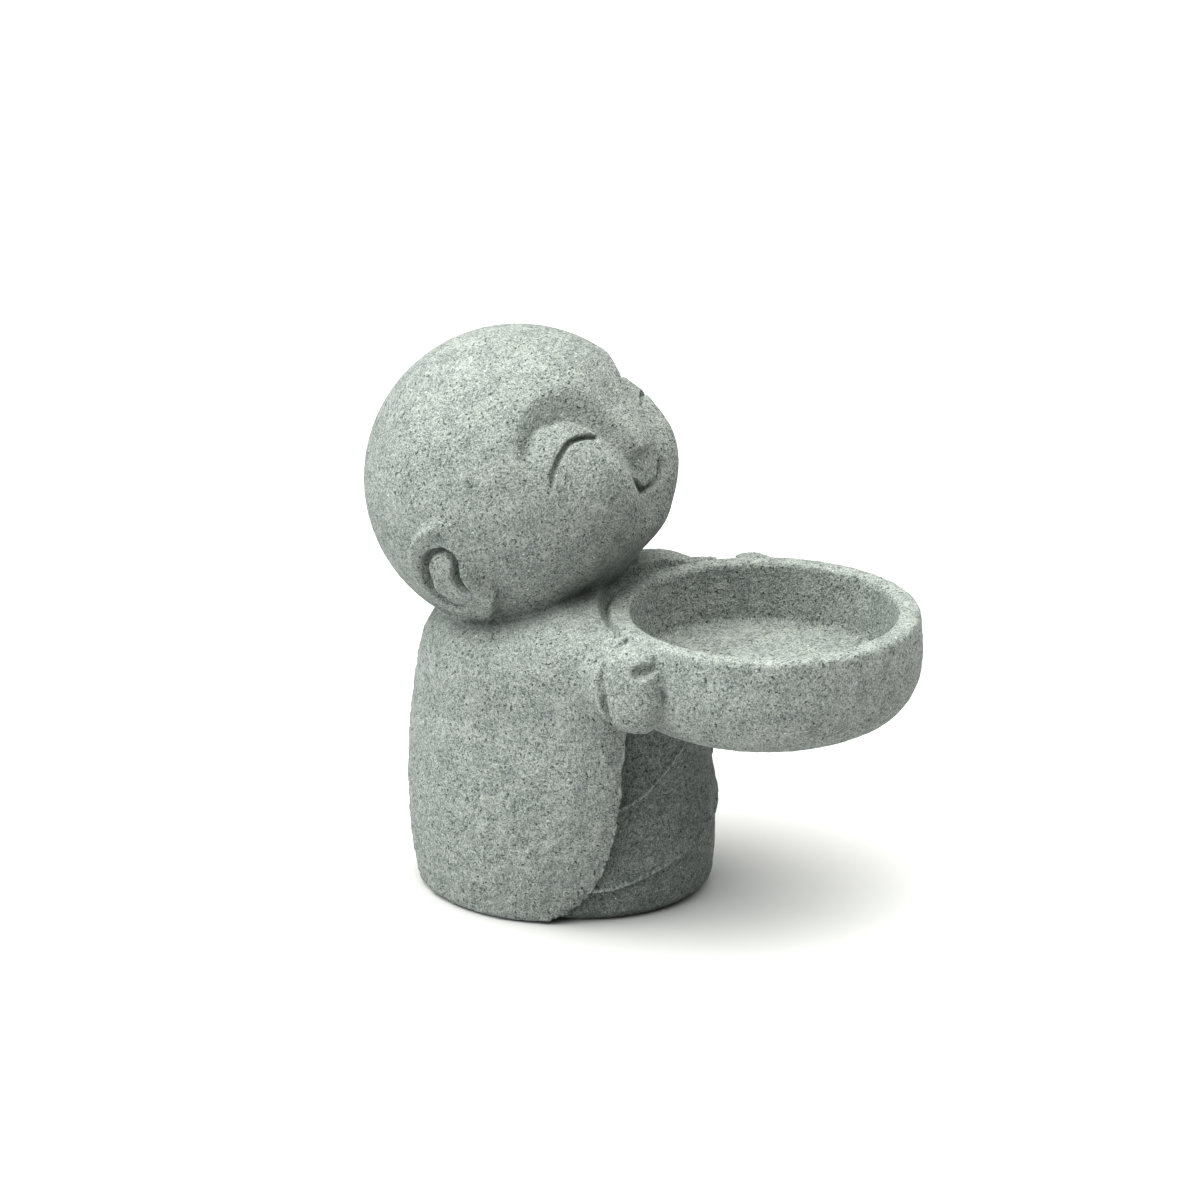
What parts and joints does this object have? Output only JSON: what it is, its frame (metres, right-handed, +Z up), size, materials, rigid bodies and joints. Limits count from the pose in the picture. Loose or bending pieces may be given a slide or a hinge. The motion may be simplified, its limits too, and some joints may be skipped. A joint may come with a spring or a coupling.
{
  "type": "stone jizo statue",
  "caption": "Small cast-stone jizo figure in a plain cloak, looking up with closed eyes and holding a round, shallow dish before its chest.",
  "frame": {"origin": "middle of the flat underside, on the axis of the body", "axes": "+Z up; the figure faces -Y, so the dish is on -Y; the figure's right hand is on -X"},
  "size_m": [0.0582, 0.0965, 0.095],
  "materials": {
    "stone": "fine-grained greenish-grey cast stone, matt, with light and dark specks and small pits"
  },
  "bodies": {
    "root": {"statue": "stone"}
  },
  "joints": []
}
